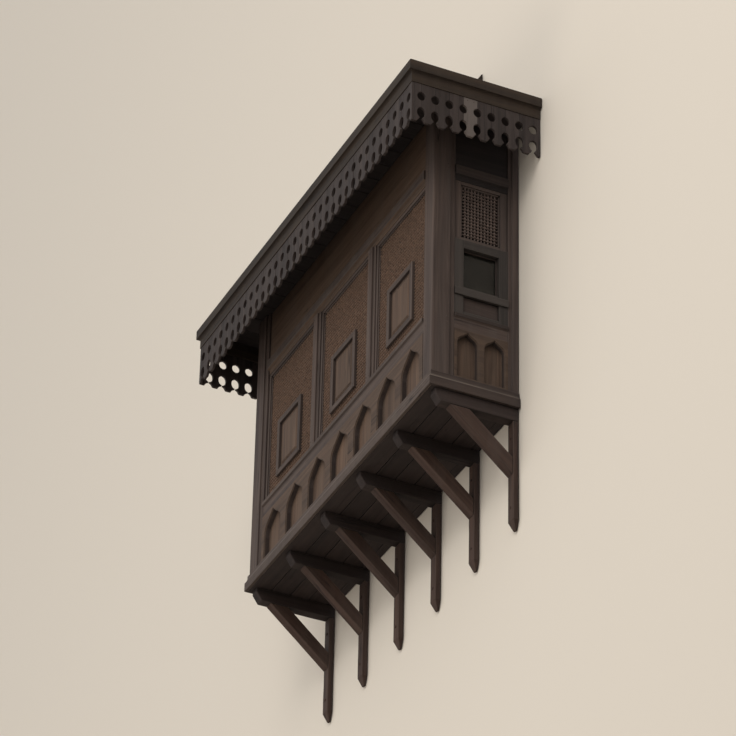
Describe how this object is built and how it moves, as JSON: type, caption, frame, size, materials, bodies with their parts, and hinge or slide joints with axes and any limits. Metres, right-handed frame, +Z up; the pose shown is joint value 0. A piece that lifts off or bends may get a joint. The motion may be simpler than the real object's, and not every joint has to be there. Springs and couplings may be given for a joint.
{
  "type": "projecting mashrabiya window",
  "caption": "Shallow timber window box for a wall, with lattice bays and hatches over a blind arcade, a flat canopy with a pierced fringe, and raking brackets.",
  "frame": {"origin": "middle of the back sill's wall face, on the oriel's centre line", "axes": "+Z up, the oriel stands out from the wall towards -Y, +X to the right seen from the front"},
  "size_m": [3.05, 0.825, 3.39],
  "materials": {
    "frame_wood": "weathered, matt",
    "panel_wood": "weathered, matt",
    "turned_lattice": "weathered, matt",
    "fringe_wood": "weathered, matt",
    "canopy_wood": "weathered, matt",
    "bracket_wood": "weathered, matt",
    "glass": "old, slightly grey-green"
  },
  "bodies": {
    "root": {"arcade_front": "panel_wood", "arcade_left": "panel_wood", "arcade_right": "panel_wood", "back_sill": "frame_wood", "base_moulding_front": "frame_wood", "base_moulding_left": "frame_wood", "base_moulding_right": "frame_wood", "bracket_bearer_1": "bracket_wood", "bracket_bearer_2": "bracket_wood", "bracket_bearer_3": "bracket_wood", "bracket_bearer_4": "bracket_wood", "bracket_bearer_5": "bracket_wood", "bracket_bearer_6": "bracket_wood", "bracket_post_1": "bracket_wood", "bracket_post_2": "bracket_wood", "bracket_post_3": "bracket_wood", "bracket_post_4": "bracket_wood", "bracket_post_5": "bracket_wood", "bracket_post_6": "bracket_wood", "bracket_strut_1": "bracket_wood", "bracket_strut_2": "bracket_wood", "bracket_strut_3": "bracket_wood", "bracket_strut_4": "bracket_wood", "bracket_strut_5": "bracket_wood", "bracket_strut_6": "bracket_wood", "canopy_deck": "canopy_wood", "corner_post_left": "frame_wood", "corner_post_right": "frame_wood", "cornice_front": "canopy_wood", "cornice_left": "canopy_wood", "cornice_right": "canopy_wood", "floor": "frame_wood", "frieze_front": "panel_wood", "frieze_left": "panel_wood", "frieze_right": "panel_wood", "fringe_front": "fringe_wood", "fringe_left": "fringe_wood", "fringe_right": "fringe_wood", "hatch_left": "panel_wood", "hatch_middle": "panel_wood", "hatch_right": "panel_wood", "lattice_front_left": "turned_lattice", "lattice_front_middle": "turned_lattice", "lattice_front_right": "turned_lattice", "lattice_left": "turned_lattice", "lattice_right": "turned_lattice", "mullion_left": "frame_wood", "mullion_right": "frame_wood", "pane_left": "glass", "pane_right": "glass", "roof_brace_left": "canopy_wood", "roof_brace_right": "canopy_wood", "sill_rail_front": "frame_wood", "sill_rail_left": "frame_wood", "sill_rail_right": "frame_wood", "wall_stile_left": "frame_wood", "wall_stile_right": "frame_wood", "window_left": "frame_wood", "window_right": "frame_wood"}
  },
  "joints": []
}
